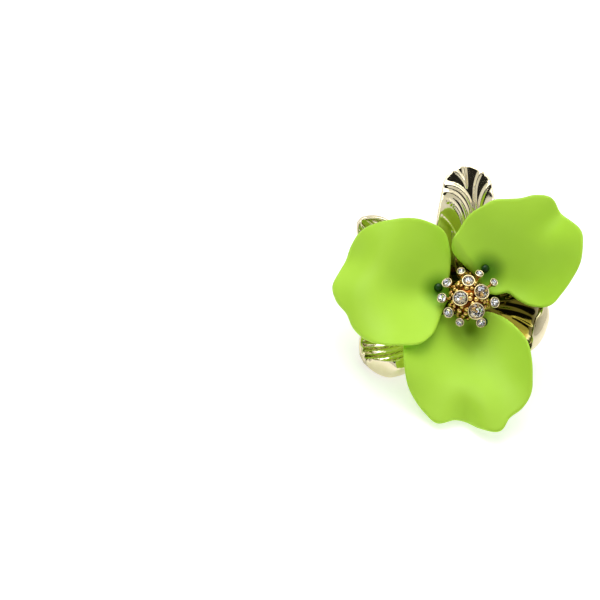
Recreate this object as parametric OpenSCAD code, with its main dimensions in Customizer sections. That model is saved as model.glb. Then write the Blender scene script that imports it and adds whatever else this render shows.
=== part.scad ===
// Flower stud earring: three enamelled petals pinned over a rosette of six veined metal leaves,
// a stamen casting with thirteen crystals in the middle and an ear post at the back.
// The flower is built along its own axis and then laid down the way it rests on a table.

/* [Petals] */
// Height of the petal edge metal, coating included
petal_wall = 0.9; // [0.7:0.1:1.2]
// How far a petal climbs from its claw to its outer end
petal_rise = 4.2; // [2:0.1:5]
// How far the sides of a petal stand above its middle line
petal_cup = 3.2; // [1.5:0.1:4]
// Dip of the rim between the two lobes
petal_dip = 1.8; // [0:0.1:2.5]
// Depth of the groove in the claw
claw_groove = 0.7; // [0:0.1:1]

/* [Leaves] */
// Wall of the leaf rosette
leaf_wall = 0.8; // [0.6:0.1:1.1]
// Height of the cast veins on the inside of a leaf
vein_height = 0.3; // [0.1:0.05:0.4]
// Radius of the dish that joins the leaves
dish_radius = 7; // [6.5:0.1:8]
// Thickness of the dish
dish_wall = 1; // [0.9:0.1:1]

/* [Stamen] */
// Radius of the granulated dome
dome_radius = 3.1; // [2.8:0.1:3.4]
// Height of the middle of the dome above the dish
dome_height = 5.4; // [5:0.1:6]
// Radius of the grains cast on the dome
grain_radius = 0.42; // [0.3:0.01:0.5]
// Girdle radius of the widest large crystal
large_stone = 1.2; // [1:0.01:1.25]
// Girdle radius of the widest small crystal
small_stone = 0.75; // [0.5:0.01:0.8]
// Rim of metal round a large crystal
large_rim = 0.18; // [0.15:0.01:0.25]
// Rim of metal round a small crystal
small_rim = 0.13; // [0.1:0.01:0.15]

/* [Ear post] */
// Radius of the ear post
post_radius = 0.4; // [0.35:0.05:0.5]
// Length of the ear post behind its pad
post_length = 10; // [9:0.5:12]
// Radius of the pad at the root of the post
pad_radius = 2.5; // [2:0.1:4]

/* [Rest] */
// Lean of the flower axis from upright, as it lies on a table
lean = 38.49; // [0:0.01:60]
// Bearing that the flower axis leans towards
lean_bearing = 245.4; // [0:0.01:360]
// Turn of the resting flower on the table
turn = 18; // [-180:1:180]
// Place of the dish over the table
rest_height = 9.12; // [0:0.01:30]
// Shift that centres the resting earring along X
rest_x = 3.76; // [-20:0.01:20]
// Shift that centres the resting earring along Y
rest_y = 3.16; // [-20:0.01:20]

/* [Hidden] */

gap = 0.03;
lime = [0.66, 0.85, 0.25];
pin_green = [0.08, 0.3, 0.05];
gold = [0.85, 0.75, 0.5];
stamen_gold = [0.8, 0.6, 0.25];
crystal_white = [0.9, 0.92, 0.95];

// One row a petal: bearing of its middle line, distance of the middle of its blade from the axis,
// height of its claw, and the place of its pin along and across the petal
PETAL_BEARING = 0;
PETAL_MIDDLE = 1;
PETAL_BASE = 2;
PIN_ALONG = 3;
PIN_ACROSS = 4;
petals = [
    [169, 12.2, 4.6, 5.34, -1.39],
    [43, 11.6, 2.2, 5.6, 2.21],
    [269, 12.8, 2.2, 3.2, 2.7]
];

// One row a petal for its form: share of the rise and the length that it takes, share of the cup on
// the clockwise and the other side, shift and slant of the valley between them, how much of the cup
// fades outward, share of the dip with its place and width, twist of the outer half, the fall of the
// rim all round and towards one bearing, and a swell with its place and width
RISE_SHARE = 0;
RISE_LENGTH = 1;
CUP_CW = 2;
CUP_CCW = 3;
VALLEY = 4;
SLANT = 5;
CUP_FADE = 6;
DIP_SHARE = 7;
DIP_AT = 8;
DIP_WIDTH = 9;
TWIST = 10;
FALL = 11;
SIDE_FALL = 12;
FALL_BEARING = 13;
SWELL = 14;
SWELL_ALONG = 15;
SWELL_ACROSS = 16;
SWELL_WIDTH = 17;
forms = [
    [1.43, 15.2, 0.78, 1.55, 0.15, 0.2, 0.95, 1.55, -2.55, 4.3, 0.2, 1.35, 1, -7, -0.95, 10, 1, 3.8],
    [1.57, 17.7, 1.42, 1.1, -3.8, 0.45, 0.47, 0.83, -0.5, 2.6, 0.6, -0.75, 2.5, 86, 1, 18.3, -5.7, 3.7],
    [0.84, 17.2, 1.22, 1.26, 2, 0, 1, 1.28, -0.35, 2.35, -1.4, -0.4, 0.45, -120, 1.6, 17.5, 0.85, 4.6]
];
fall_from = 4;
fall_over = 7;
claw_length = 5;

// Distance of the rim from the middle of the blade, a row every 15 degrees from the outer end;
// the columns are the left, the upper and the lower petal
petal_rim = [
    [9.71, 9.33, 7.86],
    [10.64, 10.16, 9.45],
    [10.5, 9.52, 10.92],
    [10.02, 8.56, 10.05],
    [10.88, 8.56, 10.65],
    [11.5, 9.1, 11.0],
    [11.7, 9.3, 10.8],
    [11.4, 10.0, 11.0],
    [11.4, 10.5, 11.5],
    [10.6, 11.3, 11.7],
    [9.4, 9.5, 12.0],
    [8.75, 8.2, 11.8],
    [9.0, 8.5, 10.9],
    [8.8, 7.9, 11.2],
    [9.6, 6.6, 11.8],
    [10.9, 7.5, 12.0],
    [12.2, 9.1, 12.1],
    [11.7, 10.58, 11.1],
    [10.95, 10.26, 10.5],
    [10.38, 10.16, 10.25],
    [10.35, 10.35, 9.9],
    [10.48, 10.32, 9.79],
    [9.9, 10.42, 9.78],
    [9.3, 9.74, 7.92]
];

function ease(t) = let (c = min(max(t, 0), 1)) c * c * (3 - 2 * c);
function bell(t) = exp(-t * t);

// Smooth closed curve through the rows of a table
function through(a, b, c, d, t) =
    b + 0.5 * t * (c - a + t * (2 * a - 5 * b + 4 * c - d + t * (3 * (b - c) + d - a)));
function rim_at(which, turn) =
    let (
        n = len(petal_rim),
        x = turn * n,
        i = floor(x),
        r = [for (k = [-1:2]) petal_rim[(i + k + n) % n][which]]
    )
    through(r[0], r[1], r[2], r[3], x - i);

// Height of a petal's middle surface over its claw, at a distance u along it and v across it
function petal_height(which, u, v) =
    let (
        form = forms[which],
        w = v - form[VALLEY] - form[SLANT] * (u - 12),
        cup = petal_cup * (w < 0 ? form[CUP_CW] : form[CUP_CCW]),
        out = u - petals[which][PETAL_MIDDLE],
        fall = form[FALL] + form[SIDE_FALL] * cos(atan2(v, out) - form[FALL_BEARING])
    )
    petal_rise * form[RISE_SHARE] * ease((u - 4) / form[RISE_LENGTH])
    + cup * pow(w / 10, 2) * ease(u / claw_length) * (1 - form[CUP_FADE] * ease((u - 10) / 11))
    - petal_dip * form[DIP_SHARE] * bell((v - form[DIP_AT]) / form[DIP_WIDTH]) * ease((u - 14) / 7)
    - claw_groove * bell(v / 1.6) * (1 - ease((u - 5) / 5))
    + form[TWIST] * v / 10 * ease((u - 5) / 10)
    - fall * pow(max(0, norm([out, v]) - fall_from) / fall_over, 2)
    + form[SWELL] * bell(norm([u - form[SWELL_ALONG], v - form[SWELL_ACROSS]]) / form[SWELL_WIDTH]);

petal_steps = 48;
rim_round = 0.5;
// Each ring: share of the way to the rounded edge, distance kept from the rim, share of the wall
petal_rings = [
    [0.2, rim_round, 1],
    [0.4, rim_round, 1],
    [0.6, rim_round, 1],
    [0.8, rim_round, 1],
    [1, rim_round, 1],
    [1, rim_round * 0.25, 0.66]
];

function petal_point(which, turn, ring, side) =
    let (
        reach = (rim_at(which, turn) - ring[1]) * ring[0],
        u = petals[which][PETAL_MIDDLE] + reach * cos(360 * turn),
        v = reach * sin(360 * turn)
    )
    [u, v, petal_height(which, u, v) + side * ring[2] * petal_wall / 2];

module petal_shape(which) {
    n = petal_steps;
    m = len(petal_rings);
    rim = [1, 0, 0];
    middle = [0, 0, 1];
    points = concat(
        [for (side = [1, -1]) petal_point(which, 0, middle, side)],
        [for (side = [1, -1]) for (ring = petal_rings) for (i = [0:n - 1]) petal_point(which, i / n, ring, side)],
        [for (i = [0:n - 1]) petal_point(which, i / n, rim, 0)]
    );
    function top(k, i) = 2 + k * n + i % n;
    function under(k, i) = 2 + (m + k) * n + i % n;
    function edge(i) = 2 + 2 * m * n + i % n;
    faces = concat(
        [for (i = [0:n - 1]) [0, top(0, i + 1), top(0, i)]],
        [for (i = [0:n - 1]) [1, under(0, i), under(0, i + 1)]],
        [for (k = [0:m - 2]) for (i = [0:n - 1]) [top(k, i), top(k, i + 1), top(k + 1, i + 1)]],
        [for (k = [0:m - 2]) for (i = [0:n - 1]) [top(k, i), top(k + 1, i + 1), top(k + 1, i)]],
        [for (k = [0:m - 2]) for (i = [0:n - 1]) [under(k, i), under(k + 1, i + 1), under(k, i + 1)]],
        [for (k = [0:m - 2]) for (i = [0:n - 1]) [under(k, i), under(k + 1, i), under(k + 1, i + 1)]],
        [for (i = [0:n - 1]) [top(m - 1, i), top(m - 1, i + 1), edge(i + 1)]],
        [for (i = [0:n - 1]) [top(m - 1, i), edge(i + 1), edge(i)]],
        [for (i = [0:n - 1]) [under(m - 1, i), edge(i + 1), under(m - 1, i + 1)]],
        [for (i = [0:n - 1]) [under(m - 1, i), edge(i), edge(i + 1)]]
    );
    polyhedron(points, faces, convexity = 6);
}

// Pins: a shank square through the petal into a boss on the rosette, under a domed head
pin_shank = 0.45;
pin_hole = 0.5;
head_radius = 0.75;
head_height = 0.6;
head_play = 0.1;
boss_radius = 0.95;
boss_play = 0.15;
boss_lift = 0.15;
slope_step = 0.2;

function pin_height(which) =
    petals[which][PETAL_BASE] + petal_height(which, petals[which][PIN_ALONG], petals[which][PIN_ACROSS]);

// Grade of a petal at its pin, along it and across it
function pin_grade(which) =
    let (
        u = petals[which][PIN_ALONG],
        v = petals[which][PIN_ACROSS],
        along = petal_height(which, u + slope_step, v) - petal_height(which, u - slope_step, v),
        across = petal_height(which, u, v + slope_step) - petal_height(which, u, v - slope_step)
    )
    [along, across] / (2 * slope_step);

// Distance down a pin from the petal to the middle of the dish
function pin_reach(which) = pin_height(which) / cos(atan(norm(pin_grade(which))));

// Draws its children at a pin, with Z square to the petal and 0 in the middle of its wall
module at_pin(which) {
    grade = pin_grade(which);
    rotate(petals[which][PETAL_BEARING])
    translate([petals[which][PIN_ALONG], petals[which][PIN_ACROSS], pin_height(which)])
    rotate([0, atan(norm(grade)), atan2(-grade[1], -grade[0])])
    children();
}

module petal(which) {
    color(lime)
    difference() {
        rotate(petals[which][PETAL_BEARING]) translate([0, 0, petals[which][PETAL_BASE]]) petal_shape(which);
        at_pin(which) cylinder(r = pin_hole, h = 4 * petal_wall, center = true, $fn = 24);
    }
}

module petal_pin(which) {
    foot = -pin_reach(which);
    seat = petal_wall / 2 + head_play;
    color(pin_green)
    at_pin(which) {
        translate([0, 0, foot]) cylinder(r = pin_shank, h = seat + head_height / 2 - foot, $fn = 24);
        translate([0, 0, seat]) rotate_extrude($fn = 24) intersection() {
            scale([1, head_height / head_radius]) circle(r = head_radius, $fn = 24);
            square([head_radius, head_height]);
        }
    }
}

module pin_boss(which) {
    foot = boss_lift - pin_reach(which);
    at_pin(which) translate([0, 0, foot]) cylinder(r = boss_radius, h = -foot - petal_wall / 2 - boss_play, $fn = 24);
}

module pin_socket(which) {
    foot = -pin_reach(which) - gap;
    at_pin(which) translate([0, 0, foot]) cylinder(r = pin_hole, h = -foot, $fn = 24);
}

// Leaf rosette, a row a leaf: bearing, root's distance from the axis, straight length, climb, bend
// radius and bend of its middle line, where along its length it is widest and where the roll of its
// sides changes, then for its clockwise and for its other side the flat part, roll radius, roll, the
// shares of the roll at the root and at the tip, and the share of its width that it keeps at the tip
LEAF_BEARING = 0;
LEAF_ROOT = 1;
LEAF_STRAIGHT = 2;
LEAF_CLIMB = 3;
BEND_RADIUS = 4;
BEND = 5;
WIDEST_AT = 6;
ROLL_FROM = 7;
SIDE_CW = 8;
SIDE_CCW = 9;
FLAT = 0;
ROLL_RADIUS = 1;
ROLL = 2;
ROOT_ROLL = 3;
TIP_ROLL = 4;
TIP_SHARE = 5;
leaves = [
    [90.5, 4, 11, 14, -60, -8, 0.36, 0.5, [0.6, 8, 38, 1, 0.4, 0.7], [0.8, 6, 50, 1, 0.3, 0.62]],
    [142, 4, 13.9, 5, 9, 34, 0.4, 0.3, [1.2, 2.8, 120, 0.25, 1, 0.6], [1.1, 6, 36, 0.25, 1, 0.6]],
    [208, 4, 10, 4, 12, 30, 0.7, 0.3, [1, 6, 34, 0.25, 1, 0.9], [2.9, 2.5, 165, 0.25, 1, 0.9]],
    [270, 4, 8, 4, 20, 16, 0.45, 0.3, [2, 6, 30, 0.25, 1, 0.8], [2, 6, 30, 0.25, 1, 0.8]],
    [341, 4, 6.7, 3, 2.9, 155, 0.45, 0.3, [0.6, 7, 42, 1, 0.8, 0.6], [0.4, 7, 38, 1, 0.8, 0.68]],
    [28, 4, 9, 3, 24, 12, 0.45, 0.3, [1.4, 6, 24, 0.25, 1, 0.8], [1.6, 6, 26, 0.25, 1, 0.8]]
];
leaf_rows = 12;
leaf_columns = 22;

// Point and slope of a leaf's middle line at a share s of its length
function leaf_length(leaf) = leaf[LEAF_STRAIGHT] + leaf[BEND_RADIUS] * leaf[BEND] * PI / 180;
function leaf_slope(leaf, s) =
    leaf[LEAF_CLIMB] + max(0, s * leaf_length(leaf) - leaf[LEAF_STRAIGHT]) / leaf[BEND_RADIUS] * 180 / PI;
function leaf_line(leaf, s) =
    let (
        run = min(s * leaf_length(leaf), leaf[LEAF_STRAIGHT]),
        climb = leaf[LEAF_CLIMB],
        slope = leaf_slope(leaf, s),
        r = leaf[BEND_RADIUS]
    )
    [
        leaf[LEAF_ROOT] + run * cos(climb) + r * (sin(slope) - sin(climb)),
        run * sin(climb) + r * (cos(climb) - cos(slope))
    ];

// Share of a side's full width at a share s of the length: half at the root, full where it is
// widest, and a round tip
root_share = 0.5;
tip_round = 0.16;
function leaf_width(leaf, side, s) =
    let (past = max(0, s - 1 + tip_round) / tip_round)
    (root_share + (1 - root_share) * ease(s / leaf[WIDEST_AT]))
    * (1 - (1 - side[TIP_SHARE]) * ease((s - leaf[WIDEST_AT]) / (0.95 - leaf[WIDEST_AT])))
    * sqrt(max(0.06, 1 - past * past));

// Across a side: distance from the middle line, height over it and slope, at a share t of the side
function side_point(side, t, roll_share) =
    let (
        roll = side[ROLL] * roll_share,
        radius = side[ROLL_RADIUS] / roll_share,
        run = t * (side[FLAT] + side[ROLL_RADIUS] * side[ROLL] * PI / 180),
        turn = max(0, run - side[FLAT]) / radius * 180 / PI
    )
    [min(run, side[FLAT]) + radius * sin(turn), radius * (1 - cos(turn)), turn];

// Veins run lengthwise, a vein to every second column, and fade at the margin
function vein(s, t) =
    vein_height * (0.5 + 0.5 * cos(90 * leaf_columns * (t + 1))) * ease((s - 0.15) / 0.2) * (1 - pow(abs(t), 6));

function leaf_point(leaf, s, t, inside) =
    let (
        line = leaf_line(leaf, s),
        slope = leaf_slope(leaf, s),
        side = t < 0 ? leaf[SIDE_CW] : leaf[SIDE_CCW],
        change = ease((s - leaf[ROLL_FROM]) / 0.4),
        spot = side_point(side, abs(t), side[ROOT_ROLL] + (side[TIP_ROLL] - side[ROOT_ROLL]) * change),
        w = leaf_width(leaf, side, s),
        wall = leaf_wall * (1 - 0.5 * pow(abs(t), 6)),
        off = inside ? wall / 2 + vein(s, t) : -wall / 2,
        across = sign(t) * (spot[0] * w - off * sin(spot[2])),
        up = spot[1] * w + off * cos(spot[2])
    )
    [line[0] - up * sin(slope), across, line[1] + up * cos(slope)];

module leaf(row) {
    n = leaf_rows;
    m = leaf_columns;
    points = [
        for (inside = [true, false]) for (i = [0:n]) for (j = [0:m])
            leaf_point(row, 1 - pow(1 - i / n, 1.4), 2 * j / m - 1, inside)
    ];
    function inner(i, j) = i * (m + 1) + j;
    function outer(i, j) = (n + 1 + i) * (m + 1) + j;
    faces = concat(
        [for (i = [0:n - 1]) for (j = [0:m - 1]) [inner(i, j), inner(i, j + 1), inner(i + 1, j + 1)]],
        [for (i = [0:n - 1]) for (j = [0:m - 1]) [inner(i, j), inner(i + 1, j + 1), inner(i + 1, j)]],
        [for (i = [0:n - 1]) for (j = [0:m - 1]) [outer(i, j), outer(i + 1, j + 1), outer(i, j + 1)]],
        [for (i = [0:n - 1]) for (j = [0:m - 1]) [outer(i, j), outer(i + 1, j), outer(i + 1, j + 1)]],
        [for (i = [0:n - 1]) [inner(i, 0), inner(i + 1, 0), outer(i + 1, 0), outer(i, 0)]],
        [for (i = [0:n - 1]) [inner(i, m), outer(i, m), outer(i + 1, m), inner(i + 1, m)]],
        [for (j = [0:m - 1]) [inner(0, j), outer(0, j), outer(0, j + 1), inner(0, j + 1)]],
        [for (j = [0:m - 1]) [inner(n, j), inner(n, j + 1), outer(n, j + 1), outer(n, j)]]
    );
    rotate(row[LEAF_BEARING]) polyhedron(points, faces, convexity = 8);
}

stem_radius = 1.2;

module leaf_rosette() {
    color(gold)
    difference() {
        union() {
            translate([0, 0, -dish_wall / 2]) cylinder(r = dish_radius, h = dish_wall, $fn = 48);
            for (row = leaves) leaf(row);
            for (which = [0:len(petals) - 1]) pin_boss(which);
        }
        for (which = [0:len(petals) - 1]) pin_socket(which);
        cylinder(r = stem_radius + gap, h = 3 * dish_wall, center = true, $fn = 32);
    }
}

// Stamen casting: large cups on the dome and small cups on wires round it,
// a row a cup: place of its face, its tilt away from the axis and the share of the widest stone
CUP_TILT = 3;
STONE_SHARE = 4;
large_cups = [
    [-1.4, -0.55, 9.2, 5, 0.94],
    [-0.05, 2.58, 8.5, 18, 0.75],
    [2.17, 0.67, 8.5, 16, 0.94],
    [1.22, -2.57, 8.2, 18, 1.04]
];
small_cups = [
    [-1.22, 4.54, 7.0, 30, 0.8],
    [1.83, 4.09, 7.2, 30, 0.78],
    [4.28, 2.66, 7.0, 30, 0.76],
    [4.39, -0.79, 6.9, 32, 1.04],
    [2.05, -4.15, 6.5, 30, 0.96],
    [-1.48, -4.18, 6.9, 30, 0.8],
    [-3.37, -2.57, 7.1, 28, 1.03],
    [-4.48, -0.06, 7.0, 30, 0.98],
    [-3.62, 2.55, 7.1, 28, 1]
];
large_depth = 1.5;
small_depth = 0.95;
wire_radius = 0.27;
wire_start = 1.6;
// Rings of grains on the dome: height angle, number of grains and turn of the ring
grain_rings = [
    [22, 14, 0],
    [42, 10, 12],
    [62, 6, 40]
];

function large_radius(cup) = large_stone * cup[STONE_SHARE];
function small_radius(cup) = small_stone * cup[STONE_SHARE];

module on_cup(cup) {
    translate([cup[0], cup[1], cup[2]])
    rotate([0, cup[CUP_TILT], atan2(cup[1], cup[0])])
    children();
}

module cup(stone, rim, depth) {
    translate([0, 0, -depth]) cylinder(r1 = stone * 0.75, r2 = stone + rim, h = depth * 0.6, $fn = 32);
    translate([0, 0, -depth * 0.4 - 0.001]) cylinder(r = stone + rim, h = depth * 0.4, $fn = 32);
}

module cup_hollow(stone, depth) {
    translate([0, 0, -depth * 0.72]) cylinder(r1 = stone * 0.35, r2 = stone + gap, h = depth * 0.45, $fn = 32);
    translate([0, 0, -depth * 0.27 - 0.001]) cylinder(r = stone + gap, h = depth, $fn = 32);
}

module wire(from, to) {
    d = to - from;
    translate(from)
    rotate([0, acos(d[2] / norm(d)), atan2(d[1], d[0])])
    cylinder(r = wire_radius, h = norm(d), $fn = 16);
}

module small_arm(row) {
    bearing = atan2(row[1], row[0]);
    out = [cos(bearing), sin(bearing), 0];
    root = out * wire_start + [0, 0, dome_height - 0.4];
    back = out * sin(row[CUP_TILT]) + [0, 0, cos(row[CUP_TILT])];
    on_cup(row) cup(small_radius(row), small_rim, small_depth);
    wire(root, [row[0], row[1], row[2]] - back * small_depth * 0.9);
}

module large_arm(row) {
    on_cup(row) cup(large_radius(row), large_rim, large_depth);
    on_cup(row) translate([0, 0, -large_depth - 1.5]) cylinder(r = large_radius(row) * 0.75, h = 2, $fn = 24);
}

module grains() {
    for (ring = grain_rings) for (i = [0:ring[1] - 1])
        translate([0, 0, dome_height])
        rotate([0, -ring[0], 360 * i / ring[1] + ring[2]])
        translate([dome_radius, 0, 0])
        sphere(r = grain_radius, $fn = 16);
}

module stamen() {
    stem_foot = -dish_wall / 2;
    color(stamen_gold)
    difference() {
        union() {
            translate([0, 0, stem_foot]) cylinder(r = stem_radius, h = dome_height - stem_foot, $fn = 32);
            translate([0, 0, dome_height]) sphere(r = dome_radius, $fn = 40);
            grains();
            for (row = large_cups) large_arm(row);
            for (row = small_cups) small_arm(row);
        }
        for (row = large_cups) on_cup(row) cup_hollow(large_radius(row), large_depth);
        for (row = small_cups) on_cup(row) cup_hollow(small_radius(row), small_depth);
    }
}

// Brilliant: an eight-sided table, a crown, a sixteen-sided girdle and a pointed pavilion
module brilliant(r) {
    table = 0.58 * r;
    crown = 0.3 * r;
    girdle = 0.08 * r;
    pavilion = 0.62 * r;
    points = concat(
        [for (i = [0:7]) [table * cos(45 * i), table * sin(45 * i), crown]],
        [for (i = [0:15]) [r * cos(22.5 * i), r * sin(22.5 * i), 0]],
        [for (i = [0:15]) [r * cos(22.5 * i), r * sin(22.5 * i), -girdle]],
        [[0, 0, -pavilion]]
    );
    function upper(i) = 8 + (i + 16) % 16;
    function lower(i) = 24 + (i + 16) % 16;
    faces = concat(
        [[for (i = [7:-1:0]) i]],
        [for (i = [0:7]) [i, (i + 1) % 8, upper(2 * i + 1)]],
        [for (i = [0:7]) [i, upper(2 * i + 1), upper(2 * i)]],
        [for (i = [0:7]) [i, upper(2 * i), upper(2 * i - 1)]],
        [for (i = [0:15]) [upper(i), upper(i + 1), lower(i + 1), lower(i)]],
        [for (i = [0:15]) [lower(i), lower(i + 1), 40]]
    );
    polyhedron(points, faces, convexity = 4);
}

module crystal(cup, r, depth) {
    color(crystal_white) on_cup(cup) translate([0, 0, -depth * 0.15]) brilliant(r);
}
module crystal_large(cup) { crystal(cup, large_radius(cup), large_depth); }
module crystal_small(cup) { crystal(cup, small_radius(cup), small_depth); }

// Ear post with its pad on the back of the dish
module ear_post() {
    pad_wall = 0.8;
    pad_top = -dish_wall / 2 - gap;
    color(gold)
    translate([0, 0, pad_top]) mirror([0, 0, 1]) {
        cylinder(r = pad_radius, h = pad_wall, $fn = 40);
        cylinder(r = post_radius, h = pad_wall + post_length, $fn = 24);
    }
}

// The whole flower, leaning as it rests
module rest() {
    translate([rest_x, rest_y, rest_height])
    rotate(turn + lean_bearing) rotate([0, lean, 0]) rotate(-lean_bearing)
    children();
}

rest() leaf_rosette();
rest() petal(0);  // petal_left
rest() petal(1);  // petal_upper
rest() petal(2);  // petal_lower
rest() petal_pin(0);  // petal_pin_left
rest() petal_pin(1);  // petal_pin_upper
rest() petal_pin(2);  // petal_pin_lower
rest() stamen();
rest() ear_post();
for (i = [1:4])
    rest() crystal_large(large_cups[i - 1]);
for (i = [1:9])
    rest() crystal_small(small_cups[i - 1]);
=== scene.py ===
"""Looks of the flower stud earring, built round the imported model.

Three matt green petals, a rosette of veined gold leaves, a granulated stamen and thirteen cut crystals
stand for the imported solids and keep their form. The pins and the post keep their own meshes. The flower
is made in millimetres, with its axis along Z towards the viewer, X to the picture's right and Y to its
top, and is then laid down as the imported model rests.
"""

import math
from collections import namedtuple

import bmesh
import bpy
import numpy as np
from mathutils import Matrix, Vector

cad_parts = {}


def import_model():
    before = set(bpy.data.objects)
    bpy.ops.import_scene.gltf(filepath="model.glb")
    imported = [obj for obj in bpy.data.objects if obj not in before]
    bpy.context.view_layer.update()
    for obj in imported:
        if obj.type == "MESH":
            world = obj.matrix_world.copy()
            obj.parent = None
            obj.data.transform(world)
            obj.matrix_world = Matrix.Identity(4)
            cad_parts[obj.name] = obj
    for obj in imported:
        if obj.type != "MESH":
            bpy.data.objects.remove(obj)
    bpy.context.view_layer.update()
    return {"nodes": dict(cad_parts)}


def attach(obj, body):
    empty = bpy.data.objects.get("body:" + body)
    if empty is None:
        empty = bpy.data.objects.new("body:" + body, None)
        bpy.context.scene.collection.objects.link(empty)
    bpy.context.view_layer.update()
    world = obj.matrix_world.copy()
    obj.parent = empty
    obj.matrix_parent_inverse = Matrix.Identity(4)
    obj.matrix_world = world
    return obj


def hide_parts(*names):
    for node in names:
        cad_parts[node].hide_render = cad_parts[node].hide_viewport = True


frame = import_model()

# How the flower rests on the table, the values of the model, in degrees and millimetres
LEAN = 38.49
LEAN_BEARING = 245.4
TURN = 18
REST = Vector((3.76, 3.16, 9.12))
UNIT = 0.001

TURNED = (
    Matrix.Rotation(math.radians(TURN + LEAN_BEARING), 3, "Z")
    @ Matrix.Rotation(math.radians(LEAN), 3, "Y")
    @ Matrix.Rotation(math.radians(-LEAN_BEARING), 3, "Z")
)
AXIS = TURNED @ Vector((0, 0, 1))

# Sizes that several pieces share, in millimetres: walls, the pins' holes, the stem and the dome it carries
PETAL_WALL = 0.9
LEAF_WALL = 0.8
DISH_WALL = 1.0
PIN_HOLE = 0.5
STEM_RADIUS = 1.2
DOME_RADIUS = 3.1
DOME_HEIGHT = 5.4
GAP = 0.03


def laid(points):
    """Points of the flower, in millimetres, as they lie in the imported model, in metres."""
    return (np.asarray(points, float) @ np.array(TURNED).T + np.array(REST)) * UNIT


def spot(x, y, z=0):
    """One place in the flower, in millimetres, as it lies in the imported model, in metres."""
    return (REST + TURNED @ Vector((x, y, z))) * UNIT


def turned(points, matrix):
    return np.asarray(points) @ np.array(matrix.to_3x3()).T + np.array(matrix.translation)


def spun(bearing):
    return Matrix.Rotation(math.radians(bearing), 4, "Z")


def ease(t):
    """A smooth step from 0 to 1 while t goes from 0 to 1."""
    c = np.clip(t, 0, 1)
    return c * c * (3 - 2 * c)


def bell(t):
    return np.exp(-t * t)


# Meshes


class Shell:
    """Gathers points and faces in the flower's own frame."""

    def __init__(self):
        self.points = []
        self.faces = []
        self.slots = []
        self.count = 0

    def add(self, points, faces, slots=0):
        """Adds a skin; slots is the material of all its faces, or a list of one for each."""
        points = np.asarray(points, float).reshape(-1, 3)
        self.points.append(points)
        self.faces += [tuple(int(i) + self.count for i in face) for face in faces]
        self.slots += np.broadcast_to(slots, len(faces)).tolist()
        self.count += len(points)

    def object(self, name, materials, smooth=True):
        """An object of what was gathered, laid down, with its faces turned outward."""
        mesh = bpy.data.meshes.new(name)
        mesh.from_pydata(laid(np.vstack(self.points)).tolist(), [], self.faces)
        for material in materials:
            mesh.materials.append(material)
        mesh.polygons.foreach_set("material_index", self.slots)
        mesh.polygons.foreach_set("use_smooth", [smooth] * len(mesh.polygons))
        mesh.update()
        work = bmesh.new()
        work.from_mesh(mesh)
        bmesh.ops.recalc_face_normals(work, faces=work.faces)
        work.to_mesh(mesh)
        work.free()
        obj = bpy.data.objects.new(name, mesh)
        bpy.context.scene.collection.objects.link(obj)
        return obj


def strip(rows, columns, wrap=False):
    """Quads of a grid of points; with wrap the last column joins the first."""
    last = columns if wrap else columns - 1
    faces = []
    for i in range(rows - 1):
        for j in range(last):
            k = (j + 1) % columns
            faces.append((i * columns + j, i * columns + k, (i + 1) * columns + k, (i + 1) * columns + j))
    return faces


def capped(rings, first, last):
    """A closed skin over rings of points, with one point at each end."""
    rings = np.asarray(rings, float)
    rows, around = rings.shape[:2]
    faces = strip(rows, around, wrap=True)
    count = rows * around
    for j in range(around):
        k = (j + 1) % around
        faces.append((count, k, j))
        faces.append((count + 1, count - around + j, count - around + k))
    return np.vstack([rings.reshape(-1, 3), [first, last]]), faces


def lathe(profile, segments):
    """A closed turned solid: profile rows are radius and height, from the axis below to the axis above."""
    turn = np.linspace(0, 2 * math.pi, segments, endpoint=False)
    rings = [
        np.stack([radius * np.cos(turn), radius * np.sin(turn), np.full(segments, height)], 1)
        for radius, height in profile[1:-1]
    ]
    return capped(rings, (0, 0, profile[0][1]), (0, 0, profile[-1][1]))


def ball(radius, segments, rings):
    profile = [(0, -radius)]
    for k in range(1, rings):
        a = -math.pi / 2 + math.pi * k / rings
        profile.append((radius * math.cos(a), radius * math.sin(a)))
    profile.append((0, radius))
    return lathe(profile, segments)


def tube(path, radius, sides):
    """A round wire along a path, closed at both ends."""
    along = np.gradient(path, axis=0)
    along /= np.linalg.norm(along, axis=1)[:, None]
    off_path = [0.3, 0.1, 1.0]
    side = np.cross(along, off_path)
    side /= np.linalg.norm(side, axis=1)[:, None]
    other = np.cross(along, side)
    turn = np.linspace(0, 2 * math.pi, sides, endpoint=False)
    rings = [
        path[i] + radius * (np.outer(np.cos(turn), side[i]) + np.outer(np.sin(turn), other[i]))
        for i in range(len(path))
    ]
    faces = strip(len(path), sides, wrap=True)
    faces.append(tuple(range(sides))[::-1])
    faces.append(tuple((len(path) - 1) * sides + j for j in range(sides)))
    return np.vstack(rings), faces


def cut(obj, tool):
    """Takes the tool out of the object."""
    modifier = obj.modifiers.new("cut", "BOOLEAN")
    modifier.operation = "DIFFERENCE"
    modifier.solver = "EXACT"
    modifier.object = tool
    bpy.context.view_layer.update()
    result = bpy.data.meshes.new_from_object(obj.evaluated_get(bpy.context.evaluated_depsgraph_get()))
    obj.modifiers.clear()
    obj.data = result
    bpy.data.objects.remove(tool)


def stand_for(obj, node):
    """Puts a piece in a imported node's place."""
    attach(obj, "root")
    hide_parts(node)


# Node trees


# Painted shade: a darker tone round a place in the flower, and the millimetres from that place over which it
# fades;
# a place of two numbers is a line along the axis, and one of three is a point
Shade = namedtuple("Shade", "place tone start end")


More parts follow.
